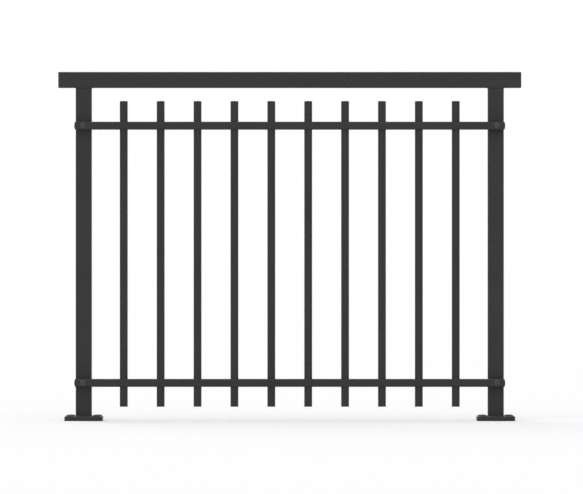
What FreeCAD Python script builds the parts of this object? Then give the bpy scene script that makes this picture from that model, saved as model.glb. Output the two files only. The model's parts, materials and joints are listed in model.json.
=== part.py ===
import FreeCAD, Part
import os

import Sketcher

# Deck railing section: two posts on base plates, a handrail over them, two rails on the posts' front faces
# and a row of balusters through the rails.
# Frame: origin at the centre of the left base plate's underside, +X along the railing, +Z up, front at -Y.

DRIVING_SIZES = {
    "overall_height": 1100,
    "post_spacing": 1300,
    "post_size": 50,
    "post_wall": 3,
    "post_corner_radius": 3.5,
    "plate_size": 120,
    "plate_thickness": 15,
    "plate_corner_radius": 12,
    "plate_edge_radius": 4,
    "anchor_spacing": 84,
    "anchor_hole_diameter": 12,
    "handrail_width": 50,
    "handrail_height": 50,
    "handrail_wall": 3,
    "handrail_corner_radius": 3.5,
    "handrail_overhang": 52,
    "rail_height": 25,
    "rail_depth": 35,
    "rail_wall": 2.5,
    "rail_corner_radius": 3.5,
    "upper_rail_drop": 170,
    "lower_rail_centre": 120,
    "baluster_count": 10,
    "baluster_diameter": 25,
    "baluster_wall": 2,
    "baluster_head_reach": 78,
    "baluster_foot_reach": 75,
    "end_gap_trim": 1.5,
    "punch_clearance": 0.3,
    "handrail_cap_thickness": 3,
    "rail_cap_thickness": 3.3,
    "rail_cap_rim": 0.8,
    "cap_edge_radius": 2.5,
    "crown_edge_radius": 0.7,
    "spigot_length": 12,
    "spigot_wall": 2,
    "spigot_clearance": 0.2,
    "dome_height": 1,
    "plug_thickness": 2,
    "screw_clearance_hole": 6.5,
    "screw_pilot_hole": 5,
    "screw_offset": 2,
}

# Sizes that follow from the driving ones.
WORKED_SIZES = {
    "post_height": "overall_height - handrail_height - plate_thickness",
    "handrail_length": "post_spacing + post_size + 2 * handrail_overhang",
    "rail_length": "post_spacing + post_size",
    "rail_axis_y": "-(post_size + rail_depth) / 2",
    "upper_rail_centre": "overall_height - upper_rail_drop",
    "crown_rise": "rail_cap_thickness - rail_cap_rim",
    "crown_radius": "(rail_height * rail_height / 4 + crown_rise * crown_rise) / (2 * crown_rise)",
    "gap_sum": "post_spacing - post_size - baluster_count * baluster_diameter",
    "clear_gap": "(gap_sum + 2 * end_gap_trim) / (baluster_count + 1)",
    "baluster_pitch": "clear_gap + baluster_diameter",
    "first_baluster_x": "post_size / 2 + clear_gap - end_gap_trim + baluster_diameter / 2",
    "baluster_foot": "lower_rail_centre - baluster_foot_reach + plug_thickness",
    "baluster_length": "upper_rail_centre + baluster_head_reach - dome_height - baluster_foot",
    "baluster_bore": "baluster_diameter - 2 * baluster_wall",
    "plug_spigot": "baluster_bore - 2 * spigot_clearance",
}

ALONG = FreeCAD.Vector(1, 0, 0)
UP = FreeCAD.Vector(0, 0, 1)
SAME_PLACE = 1e-4
LEAST_CUT = 1

doc = FreeCAD.newDocument("DeckRailingSection")
sheet = doc.addObject("Spreadsheet::Sheet", "Sizes")
sub_parts = []


def fill_sheet():
    rows = [(name, str(value)) for name, value in DRIVING_SIZES.items()]
    rows += [(name, "=" + formula) for name, formula in WORKED_SIZES.items()]
    for row, (name, content) in enumerate(rows, start=1):
        sheet.set(f"A{row}", name)
        sheet.set(f"B{row}", content)
        sheet.setAlias(f"B{row}", name)
    doc.recompute()


def size(name):
    return float(sheet.get(name))


def bind(thing, target, formula):
    """Ties a property or a sketch constraint to a formula over the sheet's names."""
    words = formula.replace("(", " ( ").replace(")", " ) ").split()
    names = set(DRIVING_SIZES) | set(WORKED_SIZES)
    thing.setExpression(target, " ".join("Sizes." + word if word in names else word for word in words))


def new_body(label, x="0", y="0", z="0"):
    body = doc.addObject("PartDesign::Body", label)
    body.Label = label
    for axis, formula in zip("xyz", (x, y, z)):
        bind(body, f"Placement.Base.{axis}", formula)
    sub_parts.append(body)
    return body


def new_sketch(body, name, plane):
    sketch = body.newObject("Sketcher::SketchObject", f"{body.Label}_{name}")
    support = next(item for item in body.Origin.OriginFeatures if item.Role == plane)
    sketch.AttachmentSupport = (support, "")
    sketch.MapMode = "FlatFace"
    return sketch


def constrain(sketch, formula, *terms):
    """Adds a dimension and ties it to a formula."""
    index = sketch.addConstraint(Sketcher.Constraint(*terms))
    name = f"size_{index}"
    sketch.renameConstraint(index, name)
    bind(sketch, f"Constraints.{name}", formula)


def draw_rectangle(sketch, width, height, start_width, start_height):
    """Rectangle centred on the sketch's origin, its two sides tied to formulas."""
    right, top = start_width / 2, start_height / 2
    corners = [FreeCAD.Vector(sx * right, sy * top) for sx, sy in ((-1, -1), (1, -1), (1, 1), (-1, 1))]
    lines = [sketch.addGeometry(Part.LineSegment(corners[i], corners[(i + 1) % 4])) for i in range(4)]
    for i in range(4):
        sketch.addConstraint(Sketcher.Constraint("Coincident", lines[i], 2, lines[(i + 1) % 4], 1))
    for line, kind in zip(lines, ("Horizontal", "Vertical") * 2):
        sketch.addConstraint(Sketcher.Constraint(kind, line))
    sketch.addConstraint(Sketcher.Constraint("Symmetric", lines[0], 1, lines[2], 1, -1, 1))
    constrain(sketch, width, "DistanceX", lines[0], 1, lines[0], 2, start_width)
    constrain(sketch, height, "DistanceY", lines[1], 1, lines[1], 2, start_height)


def draw_circle(sketch, diameter, start_diameter, x="0", start_x=0.0, y="0", start_y=0.0):
    """Circle whose centre is tied to formulas, on an axis where the start is zero."""
    centre = FreeCAD.Vector(start_x, start_y)
    circle = sketch.addGeometry(Part.Circle(centre, UP, start_diameter / 2))
    if start_x:
        constrain(sketch, x, "DistanceX", -1, 1, circle, 3, start_x)
    else:
        sketch.addConstraint(Sketcher.Constraint("PointOnObject", circle, 3, -2))
    if start_y:
        constrain(sketch, y, "DistanceY", -1, 1, circle, 3, start_y)
    else:
        sketch.addConstraint(Sketcher.Constraint("PointOnObject", circle, 3, -1))
    constrain(sketch, diameter, "Diameter", circle, start_diameter)


def pad(body, sketch, length, reverse=False, midplane=False):
    feature = body.newObject("PartDesign::Pad", sketch.Name + "_pad")
    feature.Profile = sketch
    feature.Reversed = reverse
    feature.Midplane = midplane
    bind(feature, "Length", length)
    doc.recompute()
    return feature


def edges_along(shape, direction):
    """Names of the straight edges that run in a direction."""
    names = []
    for number, edge in enumerate(shape.Edges, start=1):
        run = edge.Vertexes[-1].Point - edge.Vertexes[0].Point
        if run.Length > 0 and run.normalize().cross(direction).Length < SAME_PLACE:
            names.append(f"Edge{number}")
    return names


def edges_at(shape, axis, value):
    """Names of the edges that lie whole at one height along an axis."""
    names = []
    for number, edge in enumerate(shape.Edges, start=1):
        box = edge.BoundBox
        low, high = getattr(box, axis + "Min"), getattr(box, axis + "Max")
        if abs(low - value) < SAME_PLACE and abs(high - value) < SAME_PLACE:
            names.append(f"Edge{number}")
    return names


def round_edges(body, base, names, radius):
    feature = body.newObject("PartDesign::Fillet", base.Name + "_fillet")
    feature.Base = (base, names)
    bind(feature, "Radius", radius)
    doc.recompute()
    return feature


def corner_edges(shape, direction):
    """Names of the outermost edges that run in a direction."""
    centre = shape.BoundBox.Center
    reach = {}
    for name in edges_along(shape, direction):
        arm = shape.getElement(name).CenterOfMass - centre
        reach[name] = (arm - direction * arm.dot(direction)).Length
    return [name for name, length in reach.items() if length > max(reach.values()) - SAME_PLACE]


def make_tube(body, plane, direction, width, height, wall, radius, length, midplane):
    """Rectangular tube with rounded outer corners and square inner ones, as it is extruded."""
    sketch = new_sketch(body, "section", plane)
    outer = (size(width), size(height))
    draw_rectangle(sketch, width, height, *outer)
    inner = tuple(side - 2 * size(wall) for side in outer)
    draw_rectangle(sketch, f"{width} - 2 * {wall}", f"{height} - 2 * {wall}", *inner)
    tube = pad(body, sketch, length, midplane=midplane)
    return round_edges(body, tube, corner_edges(tube.Shape, direction), radius)


def make_posts():
    for side, x, outward in (("left", "0", -1), ("right", "post_spacing", 1)):
        body = new_body(f"post_{side}", x=x, z="plate_thickness")
        make_tube(body, "XY_Plane", UP, "post_size", "post_size", "post_wall", "post_corner_radius",
                  "post_height", midplane=False)
        for rail in ("lower_rail", "upper_rail"):
            drill_pilot(body, rail, outward)


def drill_pilot(body, rail, outward):
    """Screw hole in the post's front wall, behind a rail and a little outward of the post's middle."""
    sketch = new_sketch(body, f"{rail}_pilot", "XZ_Plane")
    height = size(f"{rail}_centre") - size("plate_thickness")
    draw_circle(sketch, "screw_pilot_hole", size("screw_pilot_hole"),
                f"{outward} * screw_offset", outward * size("screw_offset"),
                f"{rail}_centre - plate_thickness", height)
    cut_through(body, sketch, reverse=True)


def make_base_plates():
    for side, x in (("left", "0"), ("right", "post_spacing")):
        body = new_body(f"base_plate_{side}", x=x)
        outline = new_sketch(body, "outline", "XY_Plane")
        draw_rectangle(outline, "plate_size", "plate_size", size("plate_size"), size("plate_size"))
        plate = pad(body, outline, "plate_thickness")
        plate = round_edges(body, plate, corner_edges(plate.Shape, UP), "plate_corner_radius")
        top_edges = edges_at(plate.Shape, "Z", size("plate_thickness"))
        round_edges(body, plate, top_edges, "plate_edge_radius")
        hole = new_sketch(body, "anchor_hole", "XY_Plane")
        offset = size("anchor_spacing") / 2
        draw_circle(hole, "anchor_hole_diameter", size("anchor_hole_diameter"),
                    "anchor_spacing / 2", offset, "anchor_spacing / 2", offset)
        drilled = cut_through(body, hole, reverse=True)
        four_holes = body.newObject("PartDesign::PolarPattern", f"{body.Label}_anchor_holes")
        four_holes.Originals = [drilled]
        four_holes.Axis = (hole, ["N_Axis"])
        four_holes.Angle = 360
        four_holes.Occurrences = 4
        body.Tip = four_holes
        doc.recompute()


def make_handrail():
    height = "overall_height - handrail_height / 2"
    body = new_body("handrail", x="post_spacing / 2", z=height)
    make_tube(body, "YZ_Plane", ALONG, "handrail_width", "handrail_height", "handrail_wall",
              "handrail_corner_radius", "handrail_length", midplane=True)
    for side, sign in (("left", "-"), ("right", "+")):
        end_cap(f"handrail_cap_{side}", f"post_spacing / 2 {sign} handrail_length / 2", "0", height,
                "handrail_width", "handrail_height", "handrail_wall", "handrail_corner_radius",
                "handrail_cap_thickness", sign)


def make_rails():
    for name in ("upper_rail", "lower_rail"):
        height = f"{name}_centre"
        body = new_body(name, x="post_spacing / 2", y="rail_axis_y", z=height)
        make_tube(body, "YZ_Plane", ALONG, "rail_depth", "rail_height", "rail_wall",
                  "rail_corner_radius", "rail_length", midplane=True)
        drill_rail_ends(body)
        punch_rail(body)
        for side, sign in (("left", "-"), ("right", "+")):
            end_cap(f"{name}_cap_{side}", f"post_spacing / 2 {sign} rail_length / 2", "rail_axis_y", height,
                    "rail_depth", "rail_height", "rail_wall", "rail_corner_radius",
                    "rail_cap_thickness", sign, crowned=True)


def drill_rail_ends(body):
    """Screw holes through the rail's front and back walls, in front of each post."""
    sketch = new_sketch(body, "screw_holes", "XZ_Plane")
    reach = size("post_spacing") / 2 + size("screw_offset")
    for outward in (-1, 1):
        draw_circle(sketch, "screw_clearance_hole", size("screw_clearance_hole"),
                    f"{outward} * ( post_spacing / 2 + screw_offset )", outward * reach)
    cut_through(body, sketch, midplane=True)


def punch_rail(body):
    """Round holes through the rail's top and bottom walls, one for each baluster."""
    sketch = new_sketch(body, "punch", "XY_Plane")
    half_row = (size("baluster_count") - 1) / 2 * size("baluster_pitch")
    draw_circle(sketch, "baluster_diameter + 2 * punch_clearance",
                size("baluster_diameter") + 2 * size("punch_clearance"),
                "( baluster_count - 1 ) / 2 * baluster_pitch", half_row)
    punched = cut_through(body, sketch, midplane=True)
    row = body.newObject("PartDesign::LinearPattern", f"{body.Label}_punched_row")
    row.Originals = [punched]
    row.Direction = (sketch, ["H_Axis"])
    row.Reversed = True
    bind(row, "Length", "( baluster_count - 1 ) * baluster_pitch")
    bind(row, "Occurrences", "baluster_count")
    body.Tip = row
    doc.recompute()


def cut_through(body, sketch, reverse=False, midplane=False):
    """Cuts a sketch right through the body, and makes sure that something was cut."""
    before = body.Tip.Shape.Volume
    feature = body.newObject("PartDesign::Pocket", sketch.Name + "_cut")
    feature.Profile = sketch
    feature.Type = "ThroughAll"
    feature.Reversed = reverse
    feature.Midplane = midplane
    doc.recompute()
    if feature.Shape.Volume > before - LEAST_CUT:
        raise RuntimeError(f"{feature.Label} cuts nothing")
    return feature


def end_cap(label, x, y, z, width, height, wall, radius, thickness, sign, crowned=False):
    """Cap with a rounded outer face and a hollow spigot that slides into the tube's end."""
    body = new_body(label, x=x, y=y, z=z)
    if sign == "-":
        body.Placement.Rotation = FreeCAD.Rotation(UP, 180)
    outer = (size(width), size(height))
    face = new_sketch(body, "face", "YZ_Plane")
    draw_rectangle(face, width, height, *outer)
    cap = pad(body, face, thickness)
    cap = round_edges(body, cap, corner_edges(cap.Shape, ALONG), radius)
    if crowned:
        cap = crown_face(body)
        round_edges(body, cap, crown_edges(cap.Shape), "crown_edge_radius")
    else:
        rim = edges_at(cap.Shape, "X", size(thickness))
        round_edges(body, cap, rim, "cap_edge_radius")
    inset = f"2 * {wall} - 2 * spigot_clearance"
    spigot_size = [side - 2 * size(wall) - 2 * size("spigot_clearance") for side in outer]
    spigot = new_sketch(body, "spigot", "YZ_Plane")
    draw_rectangle(spigot, f"{width} - {inset}", f"{height} - {inset}", *spigot_size)
    hollow = [side - 2 * size("spigot_wall") for side in spigot_size]
    draw_rectangle(spigot, f"{width} - {inset} - 2 * spigot_wall",
                   f"{height} - {inset} - 2 * spigot_wall", *hollow)
    pad(body, spigot, "spigot_length", reverse=True)


def crown_face(body):
    """Cuts a rail cap's outer face to an arc from its top edge to its bottom edge."""
    sketch = new_sketch(body, "crown", "XZ_Plane")
    rim, apex, top = size("rail_cap_rim"), size("rail_cap_thickness"), size("rail_height") / 2
    beyond = 2 * apex
    corners = [FreeCAD.Vector(*xz) for xz in ((rim, top), (beyond, top), (beyond, -top), (rim, -top))]
    upper, outer, lower = (sketch.addGeometry(Part.LineSegment(corners[i], corners[i + 1])) for i in range(3))
    arc = sketch.addGeometry(Part.Arc(corners[3], FreeCAD.Vector(apex, 0), corners[0]))
    for first, second in ((upper, outer), (outer, lower), (lower, arc), (arc, upper)):
        sketch.addConstraint(Sketcher.Constraint("Coincident", first, 2, second, 1))
    for line, kind in ((upper, "Horizontal"), (outer, "Vertical"), (lower, "Horizontal")):
        sketch.addConstraint(Sketcher.Constraint(kind, line))
    sketch.addConstraint(Sketcher.Constraint("PointOnObject", arc, 3, -1))
    constrain(sketch, "rail_cap_rim", "DistanceX", -1, 1, upper, 1, rim)
    constrain(sketch, "rail_height / 2", "DistanceY", -1, 1, upper, 1, top)
    constrain(sketch, "2 * rail_cap_thickness", "DistanceX", -1, 1, outer, 1, beyond)
    constrain(sketch, "crown_radius", "Radius", arc, size("crown_radius"))
    return cut_through(body, sketch, midplane=True)


def crown_edges(shape):
    """Names of the edges round a rail cap's arched face."""
    arched = max(shape.Faces, key=lambda face: face.CenterOfMass.x)
    borders = {edge.hashCode() for edge in arched.Edges}
    return [f"Edge{number}" for number, edge in enumerate(shape.Edges, start=1) if edge.hashCode() in borders]


def make_balusters():
    for number in range(int(size("baluster_count"))):
        place = {"x": f"first_baluster_x + {number} * baluster_pitch", "y": "rail_axis_y"}
        tube = new_body(f"baluster_{number + 1:02d}", z="baluster_foot", **place)
        section = new_sketch(tube, "section", "XY_Plane")
        draw_circle(section, "baluster_diameter", size("baluster_diameter"))
        draw_circle(section, "baluster_bore", size("baluster_bore"))
        pad(tube, section, "baluster_length")
        top_cap = new_body(f"baluster_cap_{number + 1:02d}", z="baluster_foot + baluster_length", **place)
        turn_domed_cap(top_cap)
        plug = new_body(f"baluster_plug_{number + 1:02d}", z="baluster_foot", **place)
        foot = new_sketch(plug, "foot", "XY_Plane")
        draw_circle(foot, "baluster_diameter", size("baluster_diameter"))
        pad(plug, foot, "plug_thickness", reverse=True)
        spigot = new_sketch(plug, "spigot", "XY_Plane")
        draw_circle(spigot, "plug_spigot", size("plug_spigot"))
        pad(plug, spigot, "spigot_length")


def turn_domed_cap(body):
    """Cap turned about its axis: a spigot in the tube's bore under a shallow dome as wide as the tube."""
    sketch = new_sketch(body, "profile", "XZ_Plane")
    rim, stem = size("baluster_diameter") / 2, size("plug_spigot") / 2
    depth, rise = size("spigot_length"), size("dome_height")
    corners = [FreeCAD.Vector(*xy) for xy in ((0, rise), (0, -depth), (stem, -depth), (stem, 0), (rim, 0))]
    lines = [sketch.addGeometry(Part.LineSegment(corners[i], corners[i + 1])) for i in range(4)]
    axis, bottom, side, seat = lines
    dome_radius = (rim ** 2 + rise ** 2) / (2 * rise)
    shoulder = FreeCAD.Vector(rim / 2, rise - dome_radius + (dome_radius ** 2 - rim ** 2 / 4) ** 0.5)
    dome = sketch.addGeometry(Part.Arc(corners[4], shoulder, corners[0]))
    for first, second in ((axis, bottom), (bottom, side), (side, seat)):
        sketch.addConstraint(Sketcher.Constraint("Coincident", first, 2, second, 1))
    sketch.addConstraint(Sketcher.Constraint("Coincident", seat, 2, dome, 1))
    sketch.addConstraint(Sketcher.Constraint("Coincident", axis, 1, dome, 2))
    for line, kind in ((bottom, "Horizontal"), (side, "Vertical"), (seat, "Horizontal")):
        sketch.addConstraint(Sketcher.Constraint(kind, line))
    for line, point in ((axis, 1), (axis, 2), (dome, 3)):
        sketch.addConstraint(Sketcher.Constraint("PointOnObject", line, point, -2))
    sketch.addConstraint(Sketcher.Constraint("PointOnObject", seat, 2, -1))
    constrain(sketch, "plug_spigot / 2", "DistanceX", -1, 1, side, 1, stem)
    constrain(sketch, "baluster_diameter / 2", "DistanceX", -1, 1, seat, 2, rim)
    constrain(sketch, "spigot_length", "DistanceY", side, 1, side, 2, depth)
    constrain(sketch, "dome_height", "DistanceY", -1, 1, axis, 1, rise)
    turned = body.newObject("PartDesign::Revolution", f"{body.Label}_turned")
    turned.Profile = sketch
    turned.ReferenceAxis = (sketch, ["V_Axis"])
    turned.Angle = 360
    doc.recompute()


def check_document():
    for item in doc.Objects:
        if {"Invalid", "Error"} & set(item.State):
            raise RuntimeError(f"{item.Label} failed: {item.State}")
    for part in sub_parts:
        if part.Shape.isNull() or not part.Shape.isValid() or len(part.Shape.Solids) != 1:
            raise RuntimeError(f"{part.Label} is not one valid solid")


def write_parts():
    os.makedirs("parts", exist_ok=True)
    for part in sub_parts:
        part.Shape.exportStep(f"parts/{part.Label}.step")
        print(part.Label, "volume", round(part.Shape.Volume))


fill_sheet()
make_base_plates()
make_posts()
make_handrail()
make_rails()
make_balusters()
doc.recompute()
check_document()
write_parts()
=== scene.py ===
import json
import math

import bmesh
import bpy
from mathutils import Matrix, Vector


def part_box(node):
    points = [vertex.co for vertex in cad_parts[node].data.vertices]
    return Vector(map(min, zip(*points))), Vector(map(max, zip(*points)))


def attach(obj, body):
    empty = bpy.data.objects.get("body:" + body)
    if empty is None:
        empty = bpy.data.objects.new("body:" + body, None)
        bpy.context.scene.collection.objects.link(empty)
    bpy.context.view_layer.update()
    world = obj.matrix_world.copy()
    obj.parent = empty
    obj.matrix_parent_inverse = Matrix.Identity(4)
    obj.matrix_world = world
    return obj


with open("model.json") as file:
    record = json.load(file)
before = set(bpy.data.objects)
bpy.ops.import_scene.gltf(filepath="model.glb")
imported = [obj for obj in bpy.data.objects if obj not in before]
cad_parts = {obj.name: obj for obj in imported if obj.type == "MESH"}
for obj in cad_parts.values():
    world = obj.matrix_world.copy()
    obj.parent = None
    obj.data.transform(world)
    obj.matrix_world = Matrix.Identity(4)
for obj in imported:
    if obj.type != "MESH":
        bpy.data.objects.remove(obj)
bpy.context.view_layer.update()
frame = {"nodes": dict(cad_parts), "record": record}  # metres: x along the rails, y from front to back, z up
print("frame loaded:", len(frame["nodes"]), "pieces")


# small helpers for node trees and materials

def addNode(tree, kind, inputs=None, **settings):
    node = tree.nodes.new(kind)
    for name, value in settings.items():
        setattr(node, name, value)
    for name, value in (inputs or {}).items():
        if isinstance(value, bpy.types.NodeSocket):
            tree.links.new(value, node.inputs[name])
        else:
            node.inputs[name].default_value = value
    return node


def addSockets(tree, direction, sockets):
    for name, kind in sockets.items():
        tree.interface.new_socket(name=name, in_out=direction, socket_type="NodeSocket" + kind)


def newMaterial(name):
    material = bpy.data.materials.new(name)
    material.use_nodes = True
    material.node_tree.nodes.clear()
    return material, material.node_tree


# finishes: powder coat, moulded plastic, blackened bolts, polished screws

coatNoise = {
    "Peel": {"Detail": 2.0, "Roughness": 0.45},
    "Grain": {"Detail": 1.0, "Roughness": 0.5},
    "Cloud": {"Detail": 4.0, "Roughness": 0.6},
}
coatSpan = {
    "toneLow": 0.34, "toneHigh": 0.66,  # part of the mottle that runs from dark to light
    "cloudLow": 0.3, "cloudHigh": 0.7,  # part of the cloud that runs from smooth to rough
}


def makeCoatTexture():
    group = bpy.data.node_groups.new("coatTexture", "ShaderNodeTree")
    addSockets(group, "INPUT", {"Vector": "Vector", "Peel Scale": "Float", "Grain Scale": "Float",
                                "Cloud Scale": "Float", "Grain Share": "Float", "Fleck Share": "Float"})
    addSockets(group, "OUTPUT", {"Height": "Float", "Cloud": "Float", "Tone": "Float"})
    given = addNode(group, "NodeGroupInput").outputs
    noise = {}
    for layer, setting in coatNoise.items():
        texture = addNode(group, "ShaderNodeTexNoise", {
            "Vector": given["Vector"], "Scale": given[layer + " Scale"], **setting})
        noise[layer] = texture.outputs["Fac"]
    height = addNode(group, "ShaderNodeMix", {
        "Factor": given["Grain Share"], "A": noise["Peel"], "B": noise["Grain"]})
    mottle = addNode(group, "ShaderNodeMix", {
        "Factor": given["Fleck Share"], "A": noise["Cloud"], "B": height.outputs["Result"]})
    tone = addNode(group, "ShaderNodeMapRange", {
        "Value": mottle.outputs["Result"],
        "From Min": coatSpan["toneLow"], "From Max": coatSpan["toneHigh"]})
    addNode(group, "NodeGroupOutput", {
        "Height": height.outputs["Result"], "Cloud": noise["Cloud"], "Tone": tone.outputs["Result"]})
    return group


coatTexture = makeCoatTexture()

powderCoat = {
    "dark": (0.0105, 0.0105, 0.0107, 1), "light": (0.0280, 0.0280, 0.0283, 1),
    "roughLow": 0.38, "roughHigh": 0.52, "specular": 0.36, "metallic": 0.0,
    "peelScale": 520.0, "grainScale": 2600.0, "cloudScale": 9.0, "grainShare": 0.35,
    "fleckShare": 0.65, "bumpDepth": 0.00012,
}
mouldedPlastic = {
    "dark": (0.0150, 0.0150, 0.0152, 1), "light": (0.0200, 0.0200, 0.0203, 1),
    "roughLow": 0.46, "roughHigh": 0.60, "specular": 0.34, "metallic": 0.0,
    "peelScale": 900.0, "grainScale": 3800.0, "cloudScale": 22.0, "grainShare": 0.7,
    "fleckShare": 0.4, "bumpDepth": 0.00003,
}
blackenedSteel = {
    "dark": (0.022, 0.022, 0.023, 1), "light": (0.038, 0.037, 0.036, 1),
    "roughLow": 0.48, "roughHigh": 0.62, "specular": 0.3, "metallic": 0.5,
    "peelScale": 1400.0, "grainScale": 5200.0, "cloudScale": 60.0, "grainShare": 0.5,
    "fleckShare": 0.3, "bumpDepth": 0.00002,
}
polishedBlack = {
    "dark": (0.054, 0.054, 0.055, 1), "light": (0.072, 0.071, 0.070, 1),
    "roughLow": 0.36, "roughHigh": 0.46, "specular": 0.5, "metallic": 0.9,
    "peelScale": 1400.0, "grainScale": 5200.0, "cloudScale": 80.0, "grainShare": 0.5,
    "fleckShare": 0.3, "bumpDepth": 0.00001,
}


def makeCoat(name, look):
    material, tree = newMaterial(name)
    place = addNode(tree, "ShaderNodeTexCoord")
    texture = addNode(tree, "ShaderNodeGroup", {
        "Vector": place.outputs["Object"], "Peel Scale": look["peelScale"],
        "Grain Scale": look["grainScale"], "Cloud Scale": look["cloudScale"],
        "Grain Share": look["grainShare"], "Fleck Share": look["fleckShare"]}, node_tree=coatTexture)
    colour = addNode(tree, "ShaderNodeMix", {
        "Factor": texture.outputs["Tone"],
        6: look["dark"], 7: look["light"]}, data_type="RGBA")  # sockets 6 and 7 are colours A and B
    rough = addNode(tree, "ShaderNodeMapRange", {
        "Value": texture.outputs["Cloud"],
        "From Min": coatSpan["cloudLow"], "From Max": coatSpan["cloudHigh"],
        "To Min": look["roughLow"], "To Max": look["roughHigh"]})
    bump = addNode(tree, "ShaderNodeBump", {
        "Strength": 1.0, "Distance": look["bumpDepth"], "Height": texture.outputs["Height"]})
    shader = addNode(tree, "ShaderNodeBsdfPrincipled", {
        "Base Color": colour.outputs[2],  # the colour result
        "Roughness": rough.outputs["Result"], "Normal": bump.outputs["Normal"],
        "Metallic": look["metallic"], "Specular IOR Level": look["specular"]})
    addNode(tree, "ShaderNodeOutputMaterial", {"Surface": shader.outputs["BSDF"]})
    return material


coatMaterial = makeCoat("satinBlackPowderCoat", powderCoat)
plasticMaterial = makeCoat("blackMouldedPlastic", mouldedPlastic)
boltMaterial = makeCoat("blackenedSteel", blackenedSteel)
screwMaterial = makeCoat("polishedBlackScrew", polishedBlack)

slotMaterials = {"black_powder_coat": coatMaterial, "black_plastic": plasticMaterial}
for part in frame["record"]["subparts"]:
    for holder in frame["nodes"][part["node"]].material_slots:
        holder.material = slotMaterials[part["material_slot"]]
print("coats on all CAD pieces")


# a turned or hex-socketed fastener as rings stacked along its axis

fastenerMesh = {"segments": 48, "sharpAngle": math.radians(35)}


def ringPoint(shape, radius, angle):
    if shape == "hex":  # radius is half the width across the flats
        radius = radius / math.cos((angle % (math.pi / 3)) - math.pi / 6)
    return radius * math.cos(angle), radius * math.sin(angle)


def stackRings(name, rings):
    segments = fastenerMesh["segments"]
    angles = [2 * math.pi * i / segments for i in range(segments)]
    build = bmesh.new()
    loops = []
    for height, radius, shape in rings:
        points = [ringPoint(shape, radius, angle) for angle in angles]
        loops.append([build.verts.new((x, y, height)) for x, y in points])
    for lower, upper in zip(loops, loops[1:]):
        for i in range(segments):
            j = (i + 1) % segments
            build.faces.new((lower[i], lower[j], upper[j], upper[i]))
    build.faces.new(loops[0][::-1])
    build.faces.new(loops[-1])
    bmesh.ops.recalc_face_normals(build, faces=build.faces)
    mesh = bpy.data.meshes.new(name)
    build.to_mesh(mesh)
    build.free()
    mesh.shade_smooth()
    mesh.set_sharp_from_angle(angle=fastenerMesh["sharpAngle"])
    return bpy.data.objects.new(name, mesh)


def domeRings(base, radius, rise, top, steps):
    # a half ellipse from the rim inwards, up to a small flat top
    rings = []
    for k in range(1, steps + 1):
        reach = radius + (top - radius) * (k / steps)
        rings.append((base + rise * math.sqrt(1 - (reach / radius) ** 2), reach, "round"))
    return rings


def socketRings(level, width, depth, lip):
    half, floor = width / 2, level - depth
    return [(level, half + lip, "hex"), (level - lip, half, "hex"),
            (floor, half, "hex"), (floor, half / 2, "round")]


# trees end in real, painted geometry, which becomes one plain mesh on the body

def startTree(name, inputs):
    tree = bpy.data.node_groups.new(name, "GeometryNodeTree")
    addSockets(tree, "INPUT", {**inputs, "Material": "Material"})
    addSockets(tree, "OUTPUT", {"Geometry": "Geometry"})
    return tree, addNode(tree, "NodeGroupInput").outputs


def endTree(tree, geometry, material):
    whole = addNode(tree, "GeometryNodeRealizeInstances", {"Geometry": geometry})
    painted = addNode(tree, "GeometryNodeSetMaterial", {
        "Geometry": whole.outputs["Geometry"], "Material": material})
    addNode(tree, "NodeGroupOutput", {"Geometry": painted.outputs["Geometry"]})


def bakeTree(name, tree, values):
    carrier = bpy.data.objects.new(name + "Carrier", bpy.data.meshes.new(name + "Carrier"))
    bpy.context.scene.collection.objects.link(carrier)
    modifier = carrier.modifiers.new("spread", "NODES")
    modifier.node_group = tree
    for socket in tree.interface.items_tree:
        if socket.in_out == "INPUT":
            modifier[socket.identifier] = values[socket.name]
    depsgraph = bpy.context.evaluated_depsgraph_get()
    mesh = bpy.data.meshes.new_from_object(carrier.evaluated_get(depsgraph), depsgraph=depsgraph)
    mesh.name = name
    carrier.modifiers.remove(modifier)
    bpy.data.objects.remove(carrier)
    piece = bpy.data.objects.new(name, mesh)
    bpy.context.scene.collection.objects.link(piece)
    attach(piece, "root")
    print(name, "made:", len(mesh.polygons), "faces")


def makeSpreadTree():
    # instances of one fastener on the corners of a grid, each turned a little
    tree, given = startTree("fastenerSpread", {
        "Fastener": "Object", "Width": "Float", "Height": "Float", "Tilt": "Vector",
        "Centre": "Vector", "Turn": "Float", "Seed": "Int"})
    grid = addNode(tree, "GeometryNodeMeshGrid", {
        "Size X": given["Width"], "Size Y": given["Height"], "Vertices X": 2, "Vertices Y": 2})
    source = addNode(tree, "GeometryNodeObjectInfo", {"Object": given["Fastener"]})
    turn = addNode(tree, "FunctionNodeRandomValue", {"Max": given["Turn"], "Seed": given["Seed"]})
    spin = addNode(tree, "ShaderNodeCombineXYZ", {"Z": turn.outputs["Value"]})
    spread = addNode(tree, "GeometryNodeInstanceOnPoints", {
        "Points": grid.outputs["Mesh"], "Instance": source.outputs["Geometry"],
        "Rotation": spin.outputs["Vector"]})
    placed = addNode(tree, "GeometryNodeTransform", {
        "Geometry": spread.outputs["Instances"],
        "Rotation": given["Tilt"], "Translation": given["Centre"]})
    endTree(tree, placed.outputs["Geometry"], given["Material"])
    return tree


spreadTree = makeSpreadTree()

anchorBolt = {
    "washerRadius": 0.0136, "washerThick": 0.0013, "washerEdge": 0.0003,
    "headRadius": 0.0120, "headSide": 0.0011, "headRise": 0.0009, "headTop": 0.0056, "domeSteps": 8,
    "socket": 0.008, "socketDepth": 0.0018, "socketLip": 0.0004,
    "shankRadius": 0.005, "shankShort": 0.0005,
    "turn": 1.05, "seed": 7,  # the hex sockets stop anywhere within a sixth of a round
}


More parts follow.
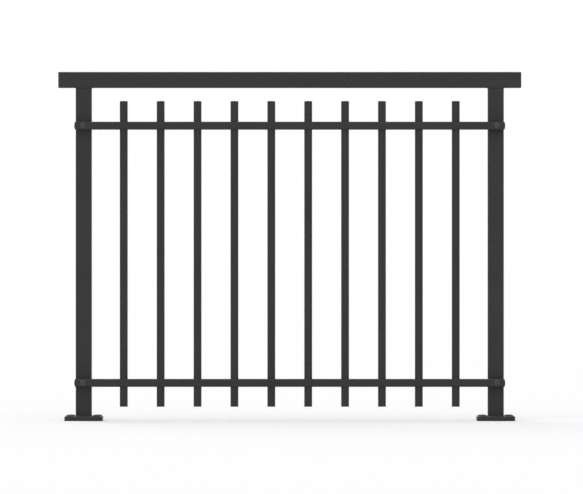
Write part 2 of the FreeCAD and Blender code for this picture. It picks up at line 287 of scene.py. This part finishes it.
def makeAnchorBolt(plateThick):
    # height 0 is the plate's top: the shank goes down from there, washer and head go up
    size = anchorBolt
    shank, washer, head = size["shankRadius"], size["washerRadius"], size["headRadius"]
    thick, edge = size["washerThick"], size["washerEdge"]
    shoulder = thick + size["headSide"]
    profile = [(size["shankShort"] - plateThick, shank), (0.0, shank),
               (0.0, washer - edge), (edge, washer), (thick - edge, washer), (thick, washer - edge),
               (thick, head), (shoulder, head)]
    rings = [(height, radius, "round") for height, radius in profile]
    rings += domeRings(shoulder, head, size["headRise"], size["headTop"], size["domeSteps"])
    rings += socketRings(rings[-1][0], size["socket"], size["socketDepth"], size["socketLip"])
    return stackRings("anchorBolt", rings)


railScrew = {
    "headRadius": 0.0095, "headRise": 0.0022, "headTop": 0.0004, "rim": 0.0008, "domeSteps": 10,
    "outward": 0.002,  # from the post's middle, where the rails' screw holes are
    "turn": 0.0, "seed": 3,
}


def makeRailScrew():
    size = railScrew
    head, rim = size["headRadius"], size["rim"]
    rings = [(0.0, head, "round"), (rim, head, "round")]
    rings += domeRings(rim, head, size["headRise"] - rim, size["headTop"], size["domeSteps"])
    return stackRings("railScrew", rings)


def middle(node):
    low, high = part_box(node)
    return (low + high) / 2


def placeAnchorBolts():
    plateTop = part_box("base_plate_left")[1].z
    bolt = makeAnchorBolt(plateTop)
    for mount in frame["record"]["mounts"]:
        if mount["kind"] != "bolt_pattern":
            continue
        side = mount["name"].split("_")[0]
        centre = Vector(mount["pos_m"])
        centre.z = plateTop
        bakeTree("anchor_bolts_" + side, spreadTree, {
            "Fastener": bolt, "Width": mount["dims"]["spacing_x_mm"] / 1000,
            "Height": mount["dims"]["spacing_y_mm"] / 1000,
            "Tilt": (0.0, 0.0, 0.0), "Centre": centre,
            "Turn": anchorBolt["turn"], "Seed": anchorBolt["seed"], "Material": boltMaterial,
        })
    bpy.data.objects.remove(bolt)


def placeRailScrews():
    left, right = middle("post_left"), middle("post_right")
    upper, lower = middle("upper_rail"), middle("lower_rail")
    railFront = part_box("upper_rail")[0].y
    screw = makeRailScrew()
    bakeTree("rail_screws", spreadTree, {
        "Fastener": screw, "Width": right.x - left.x + 2 * railScrew["outward"],
        "Height": upper.z - lower.z, "Tilt": (math.pi / 2, 0.0, 0.0),
        "Centre": Vector(((left.x + right.x) / 2, railFront, (upper.z + lower.z) / 2)),
        "Turn": railScrew["turn"], "Seed": railScrew["seed"], "Material": screwMaterial,
    })
    bpy.data.objects.remove(screw)


placeAnchorBolts()
placeRailScrews()


# weld beads round each post's foot and head, under the coat

postWeld = {
    "footLeg": 0.0022, "headLeg": 0.0018, "corner": 0.0035, "cornerPoints": 6, "beadPoints": 12,
    "step": 0.0012, "ripple": 0.00045, "rippleScale": 420.0, "rippleDetail": 1.0, "rippleMean": 0.5,
}


def makeWeldTree():
    # a rippled bead along a rounded square, the same one at both posts
    weld = postWeld
    tree, given = startTree("postWeld", {
        "Side": "Float", "Corner": "Float", "Leg": "Float", "Step": "Float", "Ripple": "Float",
        "Ripple Scale": "Float", "Spacing": "Float", "Start": "Vector"})
    square = addNode(tree, "GeometryNodeCurvePrimitiveQuadrilateral", {
        "Width": given["Side"], "Height": given["Side"]})
    rounded = addNode(tree, "GeometryNodeFilletCurve", {
        "Curve": square.outputs["Curve"], "Radius": given["Corner"],
        "Count": weld["cornerPoints"]}, mode="POLY")
    path = addNode(tree, "GeometryNodeResampleCurve", {
        "Curve": rounded.outputs["Curve"], "Length": given["Step"]}, mode="LENGTH")
    section = addNode(tree, "GeometryNodeCurvePrimitiveCircle", {
        "Resolution": weld["beadPoints"], "Radius": given["Leg"]})
    bead = addNode(tree, "GeometryNodeCurveToMesh", {
        "Curve": path.outputs["Curve"], "Profile Curve": section.outputs["Curve"]})
    noise = addNode(tree, "ShaderNodeTexNoise", {
        "Scale": given["Ripple Scale"], "Detail": weld["rippleDetail"]})
    centred = addNode(tree, "ShaderNodeMath", {
        0: noise.outputs["Fac"], 1: weld["rippleMean"]}, operation="SUBTRACT")
    swell = addNode(tree, "ShaderNodeMath", {
        0: centred.outputs["Value"], 1: given["Ripple"]}, operation="MULTIPLY")
    normal = addNode(tree, "GeometryNodeInputNormal")
    push = addNode(tree, "ShaderNodeVectorMath", {
        0: normal.outputs["Normal"], "Scale": swell.outputs["Value"]}, operation="SCALE")
    rippled = addNode(tree, "GeometryNodeSetPosition", {
        "Geometry": bead.outputs["Mesh"], "Offset": push.outputs["Vector"]})
    smooth = addNode(tree, "GeometryNodeSetShadeSmooth", {"Geometry": rippled.outputs["Geometry"]})
    apart = addNode(tree, "ShaderNodeCombineXYZ", {"X": given["Spacing"]})
    posts = addNode(tree, "GeometryNodeMeshLine", {
        "Count": 2, "Start Location": given["Start"], "Offset": apart.outputs["Vector"]})
    both = addNode(tree, "GeometryNodeInstanceOnPoints", {
        "Points": posts.outputs["Mesh"], "Instance": smooth.outputs["Geometry"]})
    endTree(tree, both.outputs["Instances"], given["Material"])
    return tree


def weldPosts():
    weld = postWeld
    low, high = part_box("post_left")
    left, right = middle("post_left"), middle("post_right")
    tree = makeWeldTree()
    seams = (("foot_welds", low.z, weld["footLeg"]), ("head_welds", high.z, weld["headLeg"]))
    for name, height, leg in seams:
        bakeTree(name, tree, {
            "Side": high.x - low.x, "Corner": weld["corner"], "Leg": leg, "Step": weld["step"],
            "Ripple": weld["ripple"], "Ripple Scale": weld["rippleScale"],
            "Spacing": right.x - left.x, "Start": (left.x, left.y, height),
            "Material": coatMaterial,
        })


weldPosts()


# pale floor, soft light, camera

studio = {"floorHalf": 150.0, "floorColour": (0.8, 0.8, 0.8, 1), "floorLift": 0.175, "skyLight": 0.62}
softLamps = {
    "backLamp": {"strength": 1.1, "spread": math.radians(45), "from": (-0.40, 1.00, 0.90)},
    "frontLamp": {"strength": 0.7, "spread": math.radians(50), "from": (-0.15, -0.60, 0.80)},
}
photoCamera = {
    "distance": 20.0, "height": 0.548, "sideways": 0.0055,
    "lens": 391.7, "sensor": 36.0, "clipEnd": 500.0,
}


def seenRays(tree):
    # 1 where the surface is looked at, straight or by reflection, and 0 where it lights
    path = addNode(tree, "ShaderNodeLightPath")
    mask = path.outputs["Is Camera Ray"]
    for ray in ("Is Glossy Ray", "Is Transmission Ray"):
        either = addNode(tree, "ShaderNodeMath", {0: mask, 1: path.outputs[ray]}, operation="MAXIMUM")
        mask = either.outputs["Value"]
    return mask


def makeFloor():
    half = studio["floorHalf"]
    corners = [(-half, -half, 0), (half, -half, 0), (half, half, 0), (-half, half, 0)]
    mesh = bpy.data.meshes.new("floor")
    mesh.from_pydata(corners, [], [(0, 1, 2, 3)])
    floor = bpy.data.objects.new("floor", mesh)
    bpy.context.scene.collection.objects.link(floor)
    material, tree = newMaterial("paleFloor")
    matt = addNode(tree, "ShaderNodeBsdfDiffuse", {"Color": studio["floorColour"]})
    lift = addNode(tree, "ShaderNodeMath", {
        0: seenRays(tree), 1: studio["floorLift"]}, operation="MULTIPLY")
    glow = addNode(tree, "ShaderNodeEmission", {"Strength": lift.outputs["Value"]})
    total = addNode(tree, "ShaderNodeAddShader", {0: matt.outputs["BSDF"], 1: glow.outputs["Emission"]})
    addNode(tree, "ShaderNodeOutputMaterial", {"Surface": total.outputs["Shader"]})
    mesh.materials.append(material)


def makeLight():
    world = bpy.data.worlds.new("softRoom")
    bpy.context.scene.world = world
    world.use_nodes = True
    tree = world.node_tree
    tree.nodes.clear()
    level = addNode(tree, "ShaderNodeMapRange", {
        "Value": seenRays(tree), "To Min": studio["skyLight"], "To Max": 1.0})
    sky = addNode(tree, "ShaderNodeBackground", {
        "Color": (1, 1, 1, 1), "Strength": level.outputs["Result"]})
    addNode(tree, "ShaderNodeOutputWorld", {"Surface": sky.outputs["Background"]})
    for name, setting in softLamps.items():
        data = bpy.data.lights.new(name, "SUN")
        data.energy = setting["strength"]
        data.angle = setting["spread"]
        lamp = bpy.data.objects.new(name, data)
        lamp.rotation_euler = Vector(setting["from"]).to_track_quat("Z", "Y").to_euler()
        bpy.context.scene.collection.objects.link(lamp)


def makeCamera():
    view = photoCamera
    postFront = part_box("post_left")[0].y
    middleX = (middle("post_left").x + middle("post_right").x) / 2
    data = bpy.data.cameras.new("photoCamera")
    data.sensor_width = view["sensor"]
    data.lens = view["lens"]
    data.clip_end = view["clipEnd"]
    camera = bpy.data.objects.new("photoCamera", data)
    camera.location = (middleX + view["sideways"], postFront - view["distance"], view["height"])
    camera.rotation_euler = (math.pi / 2, 0, 0)
    bpy.context.scene.collection.objects.link(camera)
    bpy.context.scene.camera = camera


makeFloor()
makeLight()
makeCamera()
bpy.context.scene.view_settings.view_transform = "Standard"
print("stage, light and camera set")
